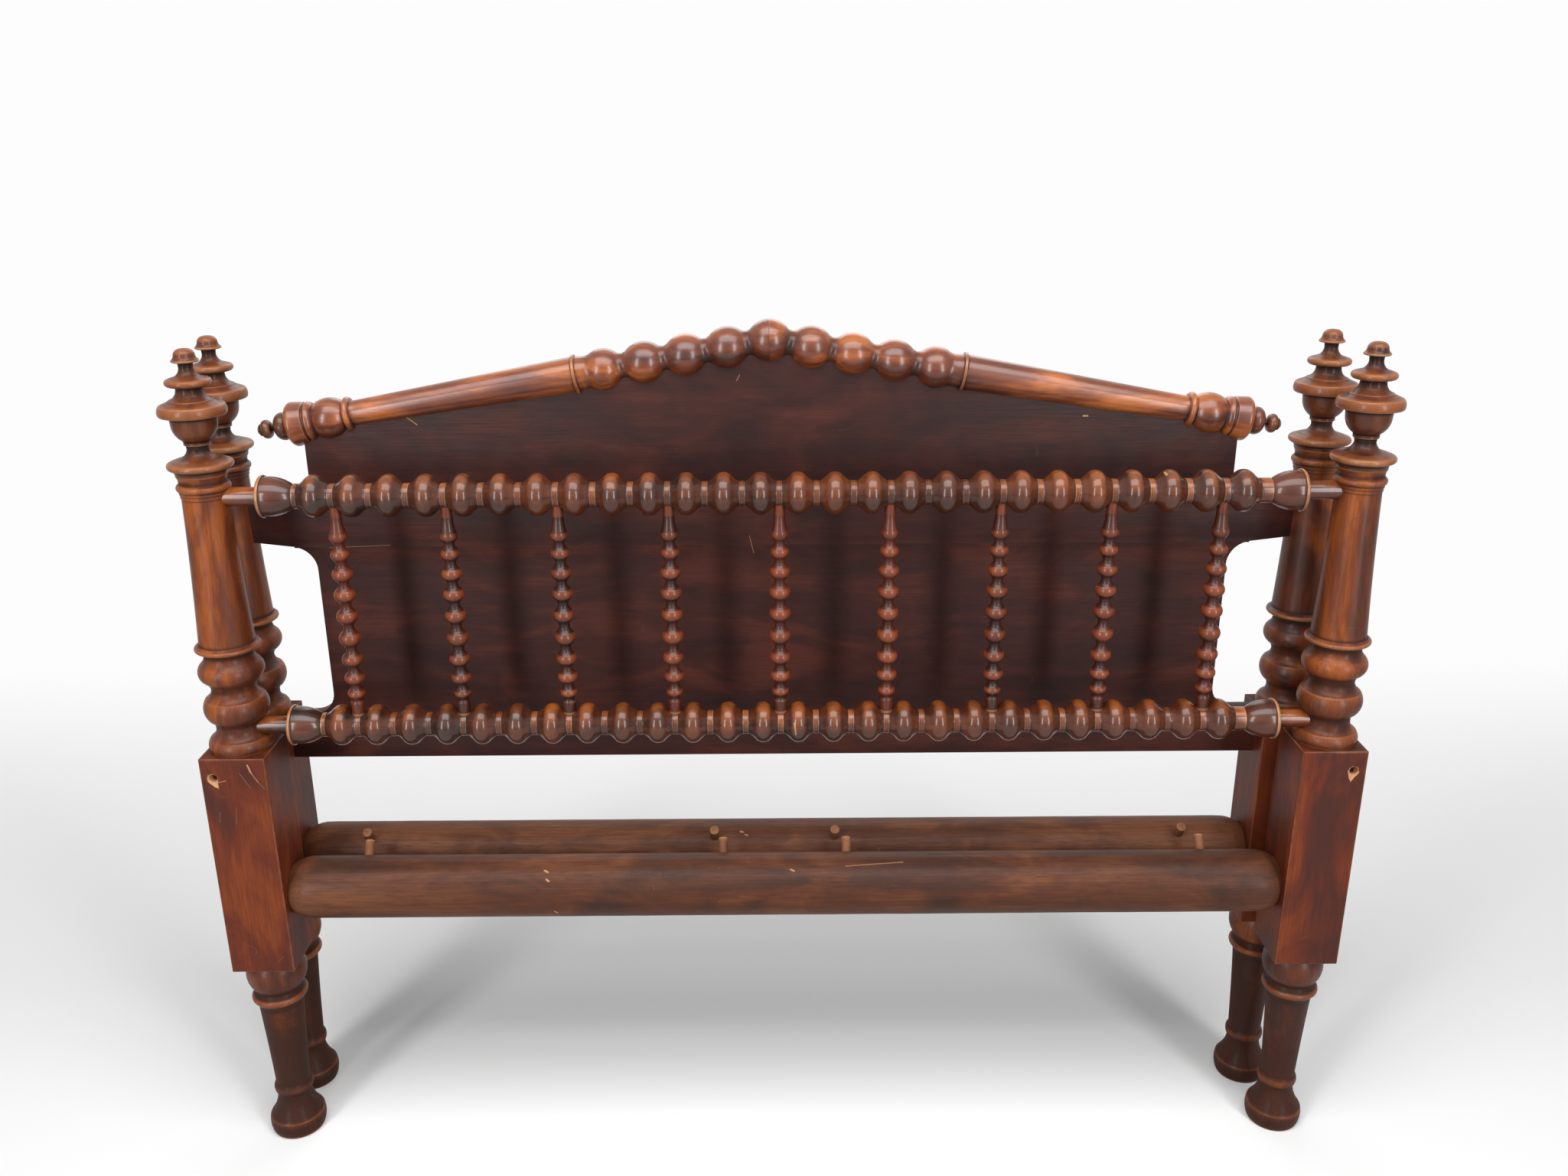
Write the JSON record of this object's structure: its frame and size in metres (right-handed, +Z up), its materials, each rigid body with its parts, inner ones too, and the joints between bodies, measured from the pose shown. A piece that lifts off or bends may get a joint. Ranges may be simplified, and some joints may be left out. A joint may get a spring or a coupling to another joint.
{
  "type": "spindle bed",
  "caption": "Turned hardwood double bedstead: footboard with beaded rails and spindles, and headboard with a solid panel under a peaked beaded crest, stood one behind the other.",
  "frame": {"origin": "on the floor, in the middle of the box round both ends", "axes": "+X across the bed, along the rails; +Y from the footboard in front to the headboard behind it; +Z up"},
  "size_m": [1.436, 0.177, 1.0817],
  "materials": {
    "post_wood": "worn satin varnish on turned maple",
    "finial_wood": "worn satin varnish on turned maple",
    "beaded_rail_wood": "glossy dark red-brown varnish",
    "spindle_wood": "glossy dark red-brown varnish",
    "cross_rail_wood": "dull, dry brown varnish",
    "peg_wood": "bare end grain, rubbed",
    "panel_wood": "old satin varnish, fine straight grain",
    "crest_wood": "worn satin varnish",
    "tip_wood": "worn satin varnish, nearly black in the turnings"
  },
  "bodies": {
    "headboard": {"head_crest_rail_left": "crest_wood", "head_crest_rail_right": "crest_wood", "head_crest_tip_left": "tip_wood", "head_crest_tip_right": "tip_wood", "head_cross_rail": "cross_rail_wood", "head_finial_left": "finial_wood", "head_finial_right": "finial_wood", "head_panel_lower_board": "panel_wood", "head_panel_upper_board": "panel_wood", "head_peg_1": "peg_wood", "head_peg_2": "peg_wood", "head_peg_3": "peg_wood", "head_peg_4": "peg_wood", "head_post_left": "post_wood", "head_post_right": "post_wood"},
    "footboard": {"foot_cross_rail": "cross_rail_wood", "foot_finial_left": "finial_wood", "foot_finial_right": "finial_wood", "foot_lower_beaded_rail": "beaded_rail_wood", "foot_peg_1": "peg_wood", "foot_peg_2": "peg_wood", "foot_peg_3": "peg_wood", "foot_peg_4": "peg_wood", "foot_post_left": "post_wood", "foot_post_right": "post_wood", "foot_spindle_1": "spindle_wood", "foot_spindle_2": "spindle_wood", "foot_spindle_3": "spindle_wood", "foot_spindle_4": "spindle_wood", "foot_spindle_5": "spindle_wood", "foot_spindle_6": "spindle_wood", "foot_spindle_7": "spindle_wood", "foot_spindle_8": "spindle_wood", "foot_spindle_9": "spindle_wood", "foot_top_beaded_rail": "beaded_rail_wood"}
  },
  "joints": [
    {"name": "footboard_slide", "type": "slide", "parent": "headboard", "child": "footboard", "axis": [0, -1, 0], "range_m": [0, 1.75]}
  ]
}
